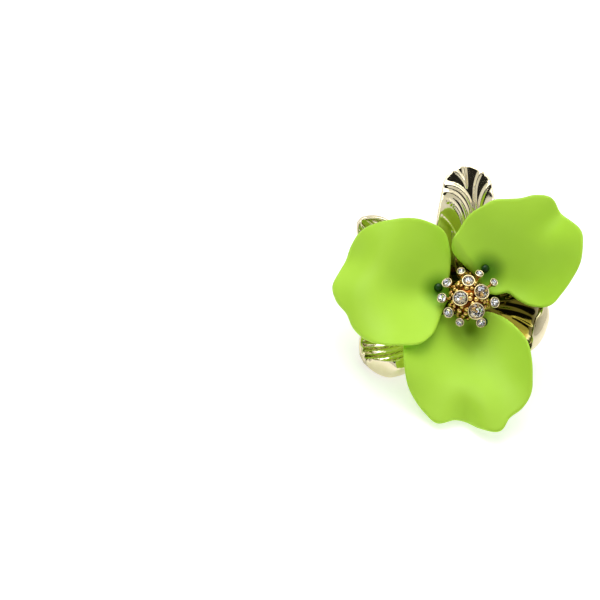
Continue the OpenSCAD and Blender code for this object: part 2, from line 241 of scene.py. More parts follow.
class Tree:
    """Builds a node tree: a call adds a node and gives back its output."""

    def __init__(self, owner):
        owner.use_nodes = True
        self.nodes = owner.node_tree.nodes
        self.links = owner.node_tree.links

    def feed(self, inputs, values):
        """Gives each named or numbered input a value or another node's output."""
        for name, value in values.items():
            if isinstance(value, bpy.types.NodeSocket):
                self.links.new(value, inputs[name])
            else:
                inputs[name].default_value = value

    def surface(self, values):
        self.feed(self.nodes["Principled BSDF"].inputs, values)

    def add(self, kind, output, values=None, **settings):
        made = self.nodes.new("ShaderNode" + kind)
        for name, value in settings.items():
            setattr(made, name, value)
        self.feed(made.inputs, values or {})
        return made.outputs[output]

    def vector(self, operation, first, second=(0, 0, 0)):
        output = "Value" if operation in ("LENGTH", "DOT_PRODUCT") else "Vector"
        return self.add("VectorMath", output, {0: first, 1: second}, operation=operation)

    def eased(self, source, start, end, low, high):
        """A value that goes smoothly from low to high while the source goes from start to end."""
        ends = {"From Min": start, "From Max": end, "To Min": low, "To Max": high}
        return self.add("MapRange", "Result", {"Value": source, **ends}, interpolation_type="SMOOTHSTEP")

    def noise(self, scale, detail=3):
        """Soft noise, its scale in features a millimetre."""
        where = self.add("TexCoord", "Object")
        where = self.add("Mapping", "Vector", {"Vector": where, "Scale": [scale / UNIT] * 3})
        return self.add("TexNoise", "Fac", {"Vector": where, "Scale": 1, "Detail": detail})

    def spread(self, noise, low, high):
        """A value from low to high over the middle half of a noise."""
        ends = {"From Min": 0.25, "From Max": 0.75, "To Min": low, "To Max": high}
        return self.add("MapRange", "Result", {"Value": noise, **ends})

    def tones(self, noise, low, high):
        """A colour from low to high over the middle of a noise."""
        made = self.nodes.new("ShaderNodeValToRGB")
        for element, position, colour in zip(made.color_ramp.elements, (0.3, 0.7), (low, high)):
            element.position = position
            element.color = (*colour, 1)
        self.links.new(noise, made.inputs["Fac"])
        return made.outputs["Color"]

    def bump(self, noise, strength, depth):
        return self.add("Bump", "Normal", {"Height": noise, "Strength": strength, "Distance": depth * UNIT})

    def shaded(self, tone, shade):
        """A tone that turns into a painted shade's tone near its place."""
        away = self.vector("SUBTRACT", self.add("TexCoord", "Object"), spot(*shade.place))
        if len(shade.place) == 2:
            away = self.vector("CROSS_PRODUCT", away, AXIS)
        share = self.eased(self.vector("LENGTH", away), shade.start * UNIT, shade.end * UNIT, 0, 1)
        return self.add("MixRGB", "Color", {"Fac": share, "Color1": (*shade.tone, 1), "Color2": tone})


# Materials


def material(name):
    made = bpy.data.materials.new(name)
    return made, Tree(made)


def shaded_matt_coat(name, shade):
    """A matt coat with a fine grain, and painted shade round a petal's claw."""
    made, tree = material(name)
    tone = tree.tones(tree.noise(0.16, detail=2), (0.465, 0.797, 0.051), (0.489, 0.822, 0.059))
    tree.surface({
        "Base Color": tree.shaded(tone, shade),
        "Roughness": tree.spread(tree.noise(0.9), 0.5, 0.58),
        "Specular IOR Level": 0.3,
        "Normal": tree.bump(tree.noise(6, detail=4), strength=0.12, depth=0.02),
    })
    return made


def plated(name, low, high, smoothest, roughest, ripple, shades=()):
    """Polished plating: a little tone change, a polishing haze, a soft cast ripple and painted shade in
    given places.
    """
    made, tree = material(name)
    tone = tree.tones(tree.noise(0.5), low, high)
    for shade in shades:
        tone = tree.shaded(tone, shade)
    tree.surface({
        "Base Color": tone,
        "Metallic": 1,
        "Roughness": tree.spread(tree.noise(3), smoothest, roughest),
        "Normal": tree.bump(tree.noise(1.1, detail=2), ripple, depth=0.06),
    })
    return made


def enamel(name):
    """Glossy dark green enamel."""
    made, tree = material(name)
    tree.surface({
        "Base Color": tree.tones(tree.noise(1.5), (0.003, 0.036, 0.0005), (0.006, 0.06, 0.001)),
        "Roughness": tree.spread(tree.noise(4), 0.3, 0.4),
        "Specular IOR Level": 0.2,
        "Coat Weight": 0.1,
        "Coat Roughness": 0.08,
    })
    return made


def cut_glass(name):
    """Clear lead glass."""
    made, tree = material(name)
    tree.surface({
        "Base Color": tree.tones(tree.noise(1.2), (0.97, 0.98, 1.0), (1.0, 1.0, 1.0)),
        "Transmission Weight": 1,
        "IOR": 1.56,
        "Roughness": tree.spread(tree.noise(6), 0.0, 0.02),
    })
    return made


def foil(name):
    """The mirror behind a crystal's pavilion."""
    made, tree = material(name)
    tree.surface({
        "Base Color": tree.tones(tree.noise(2), (0.82, 0.84, 0.9), (0.92, 0.93, 0.96)),
        "Metallic": 1,
        "Roughness": tree.spread(tree.noise(5), 0.02, 0.06),
    })
    return made


# Painted shade: each petal's coat is darker round its claw and pin, where the stamen shades it
SHADED_COATS = {
    "left": shaded_matt_coat("matt_green_coat_painted_shade_left", Shade((-4.5, 1.7), (0.13, 0.35, 0.002), 0.6, 4.2)),
    "upper": shaded_matt_coat("matt_green_coat_painted_shade_upper", Shade((3.2, 4.9), (0.11, 0.29, 0.001), 0.6, 4.0)),
    "lower": shaded_matt_coat("matt_green_coat_painted_shade_lower", Shade((0.4, -4.4), (0.27, 0.52, 0.006), 0.2, 1.8)),
}

# Painted shade: the leaves are darker round the axis and at the root of the lower right one, where the
# petals and the stamen shade them
LEAF_SHADES = [
    Shade((0, 0), (0.2, 0.14, 0.03), 6.5, 11),
    Shade((4, -1.5), (0.12, 0.1, 0.012), 6.5, 9.5),
]
# Painted shade: the dome is dark between its grains, where they shade it
DOME_SHADES = [Shade((0, 0, DOME_HEIGHT), (0.13, 0.035, 0.004), DOME_RADIUS, 3.5)]

# Two tones, the least and the greatest roughness, the strength of the cast ripple and the places of painted
# shade
LEAF_METAL = plated("pale_gold_plating", (0.7, 0.62, 0.4), (0.78, 0.71, 0.5), 0.06, 0.12, 0.15, LEAF_SHADES)
# The stamen and its rims are one metal: the rims keep its paler tone, and this darker, warmer copy is
# painted shade on the dome, stem, necks and wires
SHADED_STAMEN_METAL = plated("shaded_gold_plating", (0.56, 0.35, 0.09), (0.76, 0.54, 0.2), 0.1, 0.2, 0.3, DOME_SHADES)
RIM_METAL = plated("rim_plating", (0.62, 0.5, 0.26), (0.8, 0.7, 0.44), 0.08, 0.16, 0.3)
POST_METAL = plated("post_plating", (0.82, 0.72, 0.48), (0.88, 0.79, 0.56), 0.12, 0.2, 0.1)
PIN_ENAMEL = enamel("dark_green_enamel")
GLASS = cut_glass("cut_glass")
FOIL = foil("mirror_foil")

# Petals

# How far a petal climbs, how far its sides stand up, the dip between its lobes and the claw's groove
PETAL_RISE = 4.2
PETAL_CUP = 3.2
PETAL_DIP = 1.8
CLAW_GROOVE = 0.7

# Bearing of the middle line, distance of the middle of the blade from the axis, height of the claw,
# and the place of the pin along and across the petal
Petal = namedtuple("Petal", "bearing middle base pin_along pin_across")
PETALS = {
    "left": Petal(169, 12.2, 4.6, 5.34, -1.39),
    "upper": Petal(43, 11.6, 2.2, 5.6, 2.21),
    "lower": Petal(269, 12.8, 2.2, 3.2, 2.7),
}

# Distance of the rim from the middle of the blade, every 15 degrees from the outer end
PETAL_RIM = {
    "left": (9.71, 10.64, 10.5, 10.02, 10.88, 11.5, 11.7, 11.4, 11.4, 10.6, 9.4, 8.75,
             9.0, 8.8, 9.6, 10.9, 12.2, 11.7, 10.95, 10.38, 10.35, 10.48, 9.9, 9.3),
    "upper": (9.33, 10.16, 9.52, 8.56, 8.56, 9.1, 9.3, 10.0, 10.5, 11.3, 9.5, 8.2,
              8.5, 7.9, 6.6, 7.5, 9.1, 10.58, 10.26, 10.16, 10.35, 10.32, 10.42, 9.74),
    "lower": (7.86, 9.45, 10.92, 10.05, 10.65, 11.0, 10.8, 11.0, 11.5, 11.7, 12.0, 11.8,
              10.9, 11.2, 11.8, 12.0, 12.1, 11.1, 10.5, 10.25, 9.9, 9.79, 9.78, 7.92),
}

# Share of the rise and its length, share of the cup on the clockwise and the other side, shift and slant
# of the valley between them, how much of the cup fades outward, share, place and width of the dip, twist,
# the fall of the rim all round and towards one bearing, and a swell with its place and width
Form = namedtuple(
    "Form",
    "rise rise_length cup_clockwise cup_other valley slant fade dip dip_at dip_width twist "
    "fall side_fall fall_bearing swell swell_along swell_across swell_width",
)
FORMS = {
    "left": Form(
        1.43, 15.2, 0.78, 1.55, 0.15, 0.2, 0.95, 1.55, -2.55, 4.3, 0.2, 1.35, 1, -7, -0.95, 10, 1, 3.8
    ),
    "upper": Form(
        1.57, 17.7, 1.42, 1.1, -3.8, 0.45, 0.47, 0.83, -0.5, 2.6, 0.6, -0.75, 2.5, 86, 1, 18.3, -5.7, 3.7
    ),
    "lower": Form(
        0.84, 17.2, 1.22, 1.26, 2, 0, 1, 1.28, -0.35, 2.35, -1.4, -0.4, 0.45, -120, 1.6, 17.5, 0.85, 4.6
    ),
}

# Where along a petal its parts begin and how far each takes to grow, in millimetres
CLAW_LENGTH = 5
RISE_FROM = 4
SLANT_AT = 12
FADE_FROM = 10
FADE_OVER = 11
DIP_FROM = 14
DIP_OVER = 7
TWIST_OVER = 10
# Distance across a petal at which its cup and twist are measured, and the width of the claw's groove
HALF_BLADE = 10
GROOVE_WIDTH = 1.6
# Distance from the middle of the blade at which the rim starts to fall, and a measure of the way it takes
FALL_FROM = 4
FALL_OVER = 7
# Half the stretch of petal that gives its grade at the pin
GRADE_STEP = 0.2


def petal_height(which, u, v):
    """Height of a petal's middle surface over its claw, at a distance u along it and v across it."""
    form = FORMS[which]
    side = v - form.valley - form.slant * (u - SLANT_AT)
    cup = PETAL_CUP * np.where(side < 0, form.cup_clockwise, form.cup_other) * (side / HALF_BLADE) ** 2
    dip = PETAL_DIP * form.dip * bell((v - form.dip_at) / form.dip_width)
    out = u - PETALS[which].middle
    fall = form.fall + form.side_fall * np.cos(np.arctan2(v, out) - math.radians(form.fall_bearing))
    return (
        PETAL_RISE * form.rise * ease((u - RISE_FROM) / form.rise_length)
        + cup * ease(u / CLAW_LENGTH) * (1 - form.fade * ease((u - FADE_FROM) / FADE_OVER))
        - dip * ease((u - DIP_FROM) / DIP_OVER)
        - CLAW_GROOVE * bell(v / GROOVE_WIDTH) * (1 - ease(u / CLAW_LENGTH - 1))
        + form.twist * v / HALF_BLADE * ease((u - CLAW_LENGTH) / TWIST_OVER)
        - fall * (np.maximum(0, np.hypot(out, v) - FALL_FROM) / FALL_OVER) ** 2
        + form.swell * bell(np.hypot(u - form.swell_along, v - form.swell_across) / form.swell_width)
    )


def rim_at(which, turn):
    """Smooth closed curve through the rim's table, turn from 0 to 1."""
    rim = np.array(PETAL_RIM[which])
    n = len(rim)
    x = np.asarray(turn) * n
    i = np.floor(x).astype(int)
    a, b, c, d = (rim[(i + k) % n] for k in (-1, 0, 1, 2))
    t = x - i
    return b + 0.5 * t * (c - a + t * (2 * a - 5 * b + 4 * c - d + t * (3 * (b - c) + d - a)))


def pin_place(which):
    """The place of a petal's pin, Z square to the petal and 0 in the middle of its wall."""
    u, v = PETALS[which].pin_along, PETALS[which].pin_across
    along = petal_height(which, u + GRADE_STEP, v) - petal_height(which, u - GRADE_STEP, v)
    across = petal_height(which, u, v + GRADE_STEP) - petal_height(which, u, v - GRADE_STEP)
    grade = math.hypot(along, across) / (2 * GRADE_STEP)
    return (
        spun(PETALS[which].bearing)
        @ Matrix.Translation((u, v, PETALS[which].base + petal_height(which, u, v)))
        @ Matrix.Rotation(math.atan2(-across, -along), 4, "Z")
        @ Matrix.Rotation(math.atan(grade), 4, "Y")
    )


def drill(which):
    """A rod through a petal where its pin goes."""
    reach = 2
    rod, faces = lathe([(0, -reach), (PIN_HOLE, -reach), (PIN_HOLE, reach), (0, reach)], segments=32)
    shell = Shell()
    shell.add(turned(rod, pin_place(which)), faces)
    return shell.object("drill", [SHADED_COATS[which]])


def petal(which):
    """A petal's skin, from the middle of its top round its edge to the middle of its underside."""
    around, rings, edge_steps = 192, 26, 7
    middle = PETALS[which].middle
    half = PETAL_WALL / 2
    turn = np.arange(around) / around
    rim = rim_at(which, turn)
    top = [((rim - half) * k / rings, half) for k in range(1, rings + 1)]
    under = [(reach, -lift) for reach, lift in top[::-1]]
    angles = [math.pi / 2 - math.pi * k / edge_steps for k in range(1, edge_steps)]
    edge = [(rim - half + half * math.cos(a), half * math.sin(a)) for a in angles]
    skin = []
    for reach, lift in top + edge + under:
        u = middle + reach * np.cos(2 * math.pi * turn)
        v = reach * np.sin(2 * math.pi * turn)
        skin.append(np.stack([u, v, petal_height(which, u, v) + lift], 1))
    height = petal_height(which, middle, 0)
    points, faces = capped(skin, (middle, 0, height + half), (middle, 0, height - half))
    place = spun(PETALS[which].bearing) @ Matrix.Translation((0, 0, PETALS[which].base))
    shell = Shell()
    shell.add(turned(points, place), faces)
    obj = shell.object("petal_skin_" + which, [SHADED_COATS[which]])
    cut(obj, drill(which))
    stand_for(obj, "petal_" + which)


# Leaf rosette

# A side of a leaf: its flat part, the roll beyond it with the roll's shares at the root and at the tip,
# and the share of the width that it keeps at the tip
Side = namedtuple("Side", "flat roll_radius roll root_roll tip_roll tip")

# A leaf: bearing, root's distance from the axis, straight length, climb, bend radius and bend of its middle
# line, where along it it is widest and where the roll of its sides changes, and its two sides
Leaf = namedtuple("Leaf", "bearing root straight climb bend_radius bend widest roll_from clockwise other")
LEAVES = {
    "top": Leaf(
        90.5, 4, 11, 14, -60, -8, 0.36, 0.5,
        Side(0.6, 8, 38, 1, 0.4, 0.7), Side(0.8, 6, 50, 1, 0.3, 0.62),
    ),
    "upper_left": Leaf(
        142, 4, 13.9, 5, 9, 34, 0.4, 0.3,
        Side(1.2, 2.8, 120, 0.25, 1, 0.6), Side(1.1, 6, 36, 0.25, 1, 0.6),
    ),
    "lower_left": Leaf(
        208, 4, 10, 4, 12, 30, 0.7, 0.3,
        Side(1, 6, 34, 0.25, 1, 0.9), Side(2.9, 2.5, 165, 0.25, 1, 0.9),
    ),
    "bottom": Leaf(
        270, 4, 8, 4, 20, 16, 0.45, 0.3,
        Side(2, 6, 30, 0.25, 1, 0.8), Side(2, 6, 30, 0.25, 1, 0.8),
    ),
    "lower_right": Leaf(
        341, 4, 6.7, 3, 2.9, 155, 0.45, 0.3,
        Side(0.6, 7, 42, 1, 0.8, 0.6), Side(0.4, 7, 38, 1, 0.8, 0.68),
    ),
    "right": Leaf(
        28, 4, 9, 3, 24, 12, 0.45, 0.3,
        Side(1.4, 6, 24, 0.25, 1, 0.8), Side(1.6, 6, 26, 0.25, 1, 0.8),
    ),
}

# Shares of a leaf's length: its round tip, where it has narrowed, and the stretch in which its roll changes
# and in which its ribs begin; then the shares of its width at the root and, squared, at the very tip
TIP_ROUND = 0.16
NARROWED_AT = 0.95
ROLL_OVER = 0.4
RIBS_OVER = 0.15
ROOT_SHARE = 0.5
TIP_LEAST = 0.06
# The higher, the closer to its edge a leaf keeps its ribs and its whole wall
EDGE_POWER = 6

RIB_HEIGHT = {
    "top": 0.3,
    "upper_left": 0.3,
    "lower_left": 0.48,
    "bottom": 0.3,
    "lower_right": 0.09,
    "right": 0.3,
}

# Pleated leaves have ribs that fall off slowly to one side, and this share as wide on the other
PLEATED = ("lower_left",)
STEEP = 0.25

# Ribs: three points of a curve, each the distance from the axis and the place across, to the left as
# seen from the root, then the half width at its start and end
RIBS = {
    "top": [
        ((14.5, -1.2), (21.0, -0.7), (20.3, 4.8), 0.35, 0.5),
        ((12.5, -0.5), (19.4, -0.4), (19.2, 4.6), 0.5, 0.5),
        ((11.5, 0.3), (17.6, 0.4), (18.0, 4.6), 0.25, 0.3),
        ((20.0, 0.0), (22.0, 0.4), (23.2, 3.0), 0.2, 0.3),
        ((20.0, 0.0), (22.0, 0.1), (23.8, 0.5), 0.25, 0.6),
        ((15.0, -1.9), (20.6, -0.6), (22.8, -3.0), 0.35, 0.45),
        ((13.5, -2.2), (18.4, -1.8), (20.7, -4.4), 0.3, 0.5),
        ((11, -2.8), (15.8, -2.6), (17.8, -5.0), 0.3, 0.55),
        ((8.5, 1.4), (12.8, 1.2), (15.0, 4.8), 0.22, 0.3),
        ((5.5, 1.6), (8.5, 2.6), (12, 2.4), 0.3, 0.35),
    ],
    "upper_left": [
        ((6, -0.2), (17, -0.4), (23.2, -1.2), 0.3, 0.4),
        ((6, 0.8), (18, 0.8), (23, 0.4), 0.3, 0.4),
        ((6, -1.0), (16, -1.0), (22.4, -3.0), 0.3, 0.4),
        ((6, -1.8), (14, -1.6), (21.2, -4.4), 0.3, 0.4),
        ((6, 1.8), (16, 2.0), (22.2, 1.8), 0.3, 0.4),
    ],
    "lower_left": [
        ((8, 2.9), (14, 3.3), (20.4, 1.2), 0.9, 1.1),
        ((7, 1.9), (14, 2.4), (20.2, -0.2), 1.0, 1.2),
        ((6, 0.9), (13.5, 1.3), (19.8, -1.5), 1.0, 1.1),
        ((6, -0.2), (13, 0.1), (18.8, -2.8), 1.0, 1.2),
    ],
    "bottom": [
        ((6, 0), (12, 0), (16.5, 0), 0.4, 0.5),
        ((6, 1), (12, 1.6), (16, 1.9), 0.4, 0.5),
        ((6, -1), (12, -1.6), (16, -1.9), 0.4, 0.5),
        ((7, 2.4), (12, 3.4), (15, 3.8), 0.4, 0.5),
        ((7, -2.4), (12, -3.4), (15, -3.8), 0.4, 0.5),
    ],
    "lower_right": [
        ((5, 2.0), (8.5, 3.0), (12.6, 1.7), 0.7, 0.9),
        ((8, 0.6), (10, 0.4), (12.8, -0.6), 0.3, 0.7),
        ((5, -1.2), (9, -1.4), (12.2, -2.6), 0.6, 0.8),
    ],
    "right": [
        ((6, 0), (12, 0), (16.5, 0), 0.4, 0.5),
        ((6, 1), (12, 1.6), (16, 1.7), 0.4, 0.5),
        ((6, -1), (12, -1.5), (16, -1.6), 0.4, 0.5),
        ((7, 2.2), (12, 3.0), (15, 3.2), 0.4, 0.5),
        ((7, -2.2), (12, -2.8), (15, -2.9), 0.4, 0.5),
    ],
}


def bezier(a, b, c, t):
    t = t[:, None]
    return (1 - t) ** 2 * np.array(a) + 2 * t * (1 - t) * np.array(b) + t**2 * np.array(c)


def relief(name, along, across):
    """Height of the ribs, from 0 to 1, at places along and across a leaf."""
    steps = 60
    height = np.zeros_like(along)
    t = np.linspace(0, 1, steps)
    for start, pull, end, first, last in RIBS[name]:
        line = bezier(start, pull, end, t)
        width = first + (last - first) * t
        away = np.hypot(along[..., None] - line[:, 0], across[..., None] - line[:, 1]) / width
        near = away.min(-1)
        if name in PLEATED:
            beside = across - np.take(line[:, 1], away.argmin(-1))
            rib = np.clip(np.where(beside < 0, 1 - near, 1 - near / STEEP), 0, 1)
        else:
            rib = 0.5 + 0.5 * np.cos(math.pi * np.clip(near, 0, 1))
        height = np.maximum(height, rib)
    return height


def leaf_points(name, s, t, inside):
    """Points of a leaf's skin for arrays of the share along it and the share across it."""
    leaf = LEAVES[name]
    climb = math.radians(leaf.climb)
    length = leaf.straight + leaf.bend_radius * math.radians(leaf.bend)
    run = np.minimum(s * length, leaf.straight)
    slope = climb + np.maximum(0, s * length - leaf.straight) / leaf.bend_radius
    line_x = leaf.root + run * math.cos(climb) + leaf.bend_radius * (np.sin(slope) - math.sin(climb))
    line_z = run * math.sin(climb) + leaf.bend_radius * (math.cos(climb) - np.cos(slope))
    side = Side(*(np.where(t < 0, a, b) for a, b in zip(leaf.clockwise, leaf.other)))
    past = np.maximum(0, s - 1 + TIP_ROUND) / TIP_ROUND
    width = (
        (ROOT_SHARE + (1 - ROOT_SHARE) * ease(s / leaf.widest))
        * (1 - (1 - side.tip) * ease((s - leaf.widest) / (NARROWED_AT - leaf.widest)))
        * np.sqrt(np.maximum(TIP_LEAST, 1 - past * past))
    )
    rolled = side.root_roll + (side.tip_roll - side.root_roll) * ease((s - leaf.roll_from) / ROLL_OVER)
    radius = side.roll_radius / rolled
    reach = np.abs(t) * (side.flat + side.roll_radius * np.radians(side.roll))
    turn = np.maximum(0, reach - side.flat) / radius
    margin = np.abs(t) ** EDGE_POWER
    rib = relief(name, leaf.root + s * length, np.sign(t) * reach * width)
    rib = RIB_HEIGHT[name] * rib * ease(s / RIBS_OVER) * (1 - margin)
    half = LEAF_WALL * (1 - margin / 2) / 2
    off = half + rib if inside else -half
    across = (np.minimum(reach, side.flat) + radius * np.sin(turn)) * width - off * np.sin(turn)
    up = radius * (1 - np.cos(turn)) * width + off * np.cos(turn)
    points = np.stack([line_x - up * np.sin(slope), np.sign(t) * across, line_z + up * np.cos(slope)], -1)
    return turned(points.reshape(-1, 3), spun(leaf.bearing))


def add_leaf(shell, name):
    """A leaf's two skins and the wall between them all round."""
    rows, columns = 60, 90
    crowding = 1.3
    s = 1 - (1 - np.linspace(0, 1, rows)) ** crowding
    s, t = np.meshgrid(s, np.linspace(-1, 1, columns), indexing="ij")
    half = rows * columns
    top = strip(rows, columns)
    faces = top + [tuple(i + half for i in face[::-1]) for face in top]
    edge = [i * columns for i in range(rows)]
    edge += [(rows - 1) * columns + j for j in range(1, columns)]
    edge += [i * columns + columns - 1 for i in range(rows - 2, -1, -1)]
    edge += range(columns - 2, 0, -1)
    for a, b in zip(edge, edge[1:] + edge[:1]):
        faces.append((a, b, b + half, a + half))
    shell.add(np.vstack([leaf_points(name, s, t, inside) for inside in (True, False)]), faces)


def add_dish(shell):
    """The round dish that joins the leaves, with eased edges."""
    radius = 7
    edge = 0.15
    half = DISH_WALL / 2
    profile = [(0, -half), (STEM_RADIUS + GAP, -half), (radius - edge, -half), (radius, -half + edge)]
    profile += [(reach, -height) for reach, height in profile[::-1]]
    shell.add(*lathe(profile, segments=96))


def add_boss(shell, which):
    """The boss that a petal's pin stands in, from just over the dish to just under the petal."""
    play = 0.15
    foot_radius = 1.0
    top_radius = 0.95
    chamfer = 0.1
    place = pin_place(which)
    foot = play - place.translation.z / place.to_3x3()[2][2]
    top = -PETAL_WALL / 2 - play
    profile = [(0, foot), (foot_radius, foot), (top_radius, top - chamfer)]
    profile += [(top_radius - chamfer, top), (0, top)]
    points, faces = lathe(profile, segments=32)
    shell.add(turned(points, place), faces)


def leaf_rosette():
    shell = Shell()
    for name in LEAVES:
        add_leaf(shell, name)
    add_dish(shell)
    for which in PETALS:
        add_boss(shell, which)
    stand_for(shell.object("leaf_casting", [LEAF_METAL]), "leaf_rosette")


# Stamen and crystals

# Radius of the cast grains, then for large and for small cups the radius of the usual stone, the rim of
# metal round it and the depth of the cup
GRAIN_RADIUS = 0.42
LARGE_STONE = 1.2
SMALL_STONE = 0.75
LARGE_RIM = 0.18
SMALL_RIM = 0.13
LARGE_DEPTH = 1.5
SMALL_DEPTH = 0.95

# Place of a cup's face, its tilt away from the axis and its stone's share of the usual one
Cup = namedtuple("Cup", "x y z tilt share")
LARGE_CUPS = [
    Cup(-1.4, -0.55, 9.2, 5, 0.94),
    Cup(-0.05, 2.58, 8.5, 18, 0.75),
    Cup(2.17, 0.67, 8.5, 16, 0.94),
    Cup(1.22, -2.57, 8.2, 18, 1.04),
]
SMALL_CUPS = [
    Cup(-1.22, 4.54, 7.0, 30, 0.8),
    Cup(1.83, 4.09, 7.2, 30, 0.78),
    Cup(4.28, 2.66, 7.0, 30, 0.76),
    Cup(4.39, -0.79, 6.9, 32, 1.04),
    Cup(2.05, -4.15, 6.5, 30, 0.96),
    Cup(-1.48, -4.18, 6.9, 30, 0.8),
    Cup(-3.37, -2.57, 7.1, 28, 1.03),
    Cup(-4.48, -0.06, 7.0, 30, 0.98),
    Cup(-3.62, 2.55, 7.1, 28, 1),
]

# Rings of grains on the dome: height angle, number of grains and turn of the ring
GRAIN_RINGS = [(-20, 19, 4), (-3, 20, 0), (14, 19, 9), (31, 17, 3), (48, 13, 12), (65, 8, 20), (82, 3, 40)]
# How far a grain may stray along its ring, as a share of its stretch of it, and from it, in degrees,
# and the share by which its size may differ
GRAIN_SHIFT = 0.15
GRAIN_SWAY = 2
GRAIN_SPREAD = 0.15
GRAIN_SEED = 5

# Shares of a cup's depth: how far its stone's girdle lies below its face, and the depth of its seat
GIRDLE_DEPTH = 0.15
SEAT_DEPTH = 0.72
# Foot of a cup as a share of its stone's radius
FOOT_SHARE = 0.75
# Turn of a stone, in radians, for each millimetre that its cup lies to the right
STONE_TURN = 2.3


def cup_place(cup):
    return (
        Matrix.Translation((cup.x, cup.y, cup.z))
        @ Matrix.Rotation(math.atan2(cup.y, cup.x), 4, "Z")
        @ Matrix.Rotation(math.radians(cup.tilt), 4, "Y")
    )


def cup_profile(stone, rim, depth):
    """A flared cup with a rounded lip and a seat, by shares of its stone's radius and of its depth."""
    wall = stone + rim
    lip = rim / 2
    lip_height = -lip * 0.6
    outside = [(0, -depth), (stone * 0.7, -depth), (stone * FOOT_SHARE, -depth * 0.95), (wall, -depth * 0.4)]
    lip_angles = (0, 0.5, 1.0, 1.57, 2.1, 2.6)
    rounded = [(wall - lip + lip * math.cos(a), lip_height + lip * math.sin(a)) for a in lip_angles]
    seat = [(stone + GAP, -depth * 0.27), (stone * 0.35, -depth * SEAT_DEPTH), (0, -depth * SEAT_DEPTH)]
    return outside + rounded + seat


def add_dome(shell):
    """The stem, the dome on it and the dome's grains, each a little out of line and of its own size."""
    foot = -DISH_WALL / 2
    flare_top = DOME_HEIGHT - 2
    flare_height = 1.2
    flare_width = 0.6
    stem = [(0, foot), (STEM_RADIUS, foot), (STEM_RADIUS, flare_top - flare_height)]
    stem += [(STEM_RADIUS + flare_width, flare_top), (0, flare_top + 0.1)]
    shell.add(*lathe(stem, segments=48))
    middle = [0, 0, DOME_HEIGHT]
    dome, faces = ball(DOME_RADIUS, segments=72, rings=36)
    shell.add(dome + middle, faces)
    grain, faces = ball(GRAIN_RADIUS, segments=20, rings=10)
    chance = np.random.default_rng(GRAIN_SEED)
    for height, count, turn in GRAIN_RINGS:
        for i in range(count):
            a = math.radians(360 * (i + chance.uniform(-GRAIN_SHIFT, GRAIN_SHIFT)) / count + turn)
            h = math.radians(height + chance.uniform(-GRAIN_SWAY, GRAIN_SWAY))
            way = np.array([math.cos(h) * math.cos(a), math.cos(h) * math.sin(a), math.sin(h)])
            size = chance.uniform(1 - GRAIN_SPREAD, 1 + GRAIN_SPREAD)
            shell.add(grain * size + way * DOME_RADIUS + middle, faces)


def add_large_cup(shell, cup):
    """A large cup, rimmed in its own metal, on a neck that goes down into the dome."""
    stone = LARGE_STONE * cup.share
    points, faces = lathe(cup_profile(stone, LARGE_RIM, LARGE_DEPTH), segments=48)
    shell.add(turned(points, cup_place(cup)), faces, slots=1)
    foot = -3
    top = -LARGE_DEPTH + 0.02
    top_share = 0.72
    profile = [(0, foot), (stone * FOOT_SHARE, foot), (stone * top_share, top), (0, top)]
    neck, faces = lathe(profile, segments=32)
    shell.add(turned(neck, cup_place(cup)), faces)


def add_small_cup(shell, cup):
    """A small cup on a bent wire that comes out of the dome."""
    wire_radius = 0.27
    root_reach = 1.6
    root_height = DOME_HEIGHT - 0.4
    end_share = 0.9
    sag = 0.15
    steps = 12
    points, faces = lathe(cup_profile(SMALL_STONE * cup.share, SMALL_RIM, SMALL_DEPTH), segments=36)
    shell.add(turned(points, cup_place(cup)), faces, slots=1)
    bearing = math.atan2(cup.y, cup.x)
    out = np.array([math.cos(bearing), math.sin(bearing), 0])
    root = out * root_reach + [0, 0, root_height]
    end = np.array(cup_place(cup) @ Vector((0, 0, -SMALL_DEPTH * end_share)))
    middle = (root + end) / 2 - [0, 0, sag]
    shell.add(*tube(bezier(root, middle, end, np.linspace(0, 1, steps)), wire_radius, sides=14))


def stamen():
    shell = Shell()
    add_dome(shell)
    for cup in LARGE_CUPS:
        add_large_cup(shell, cup)
    for cup in SMALL_CUPS:
        add_small_cup(shell, cup)
    stand_for(shell.object("stamen_casting", [SHADED_STAMEN_METAL, RIM_METAL]), "stamen")


def brilliant(radius):
    """Full cut: table, stars, kites and girdle facets over mains and lower girdle facets.

    Gives its points, its faces and the material of each face, glass above and foil behind the pavilion.
    """
    table, crown, girdle, pavilion = 0.56, 0.3, 0.08, 0.62
    star, low = 0.78, 0.36
    n = 8
    half = math.cos(math.pi / n)

    def ring(size, height, count, shift):
        turn = 2 * math.pi * (np.arange(count) + shift) / count
        return np.stack([size * np.cos(turn), size * np.sin(turn), np.full(count, height)], 1)

    points = [
        ring(table, crown, n, 0),
        ring(star, crown * (1 - star * half) / (1 - table), n, 0.5),
        ring(1, 0, 2 * n, 0),
        ring(1, -girdle, 2 * n, 0),
        ring(low, -pavilion + (pavilion - girdle) * low * half, n, 0.5),
        [(0, 0, -pavilion)],
    ]
    stars, upper, lower, mains, tip = n, 2 * n, 4 * n, 6 * n, 7 * n
    glass, mirror = [tuple(range(n))], []
    for i in range(n):
        after, before = (i + 1) % n, (i - 1) % n
        a, b, c = 2 * i, 2 * i + 1, (2 * i + 2) % (2 * n)
        glass.append((i, stars + i, after))
        glass.append((i, stars + before, upper + a, stars + i))
        glass.append((stars + i, upper + a, upper + b))
        glass.append((stars + i, upper + b, upper + c))
        glass.append((upper + a, lower + a, lower + b, upper + b))
        glass.append((upper + b, lower + b, lower + c, upper + c))
        mirror.append((tip, mains + i, lower + a, mains + before))
        mirror.append((mains + i, lower + b, lower + a))
        mirror.append((mains + i, lower + c, lower + b))
    return np.vstack(points) * radius, glass + mirror, [0] * len(glass) + [1] * len(mirror)


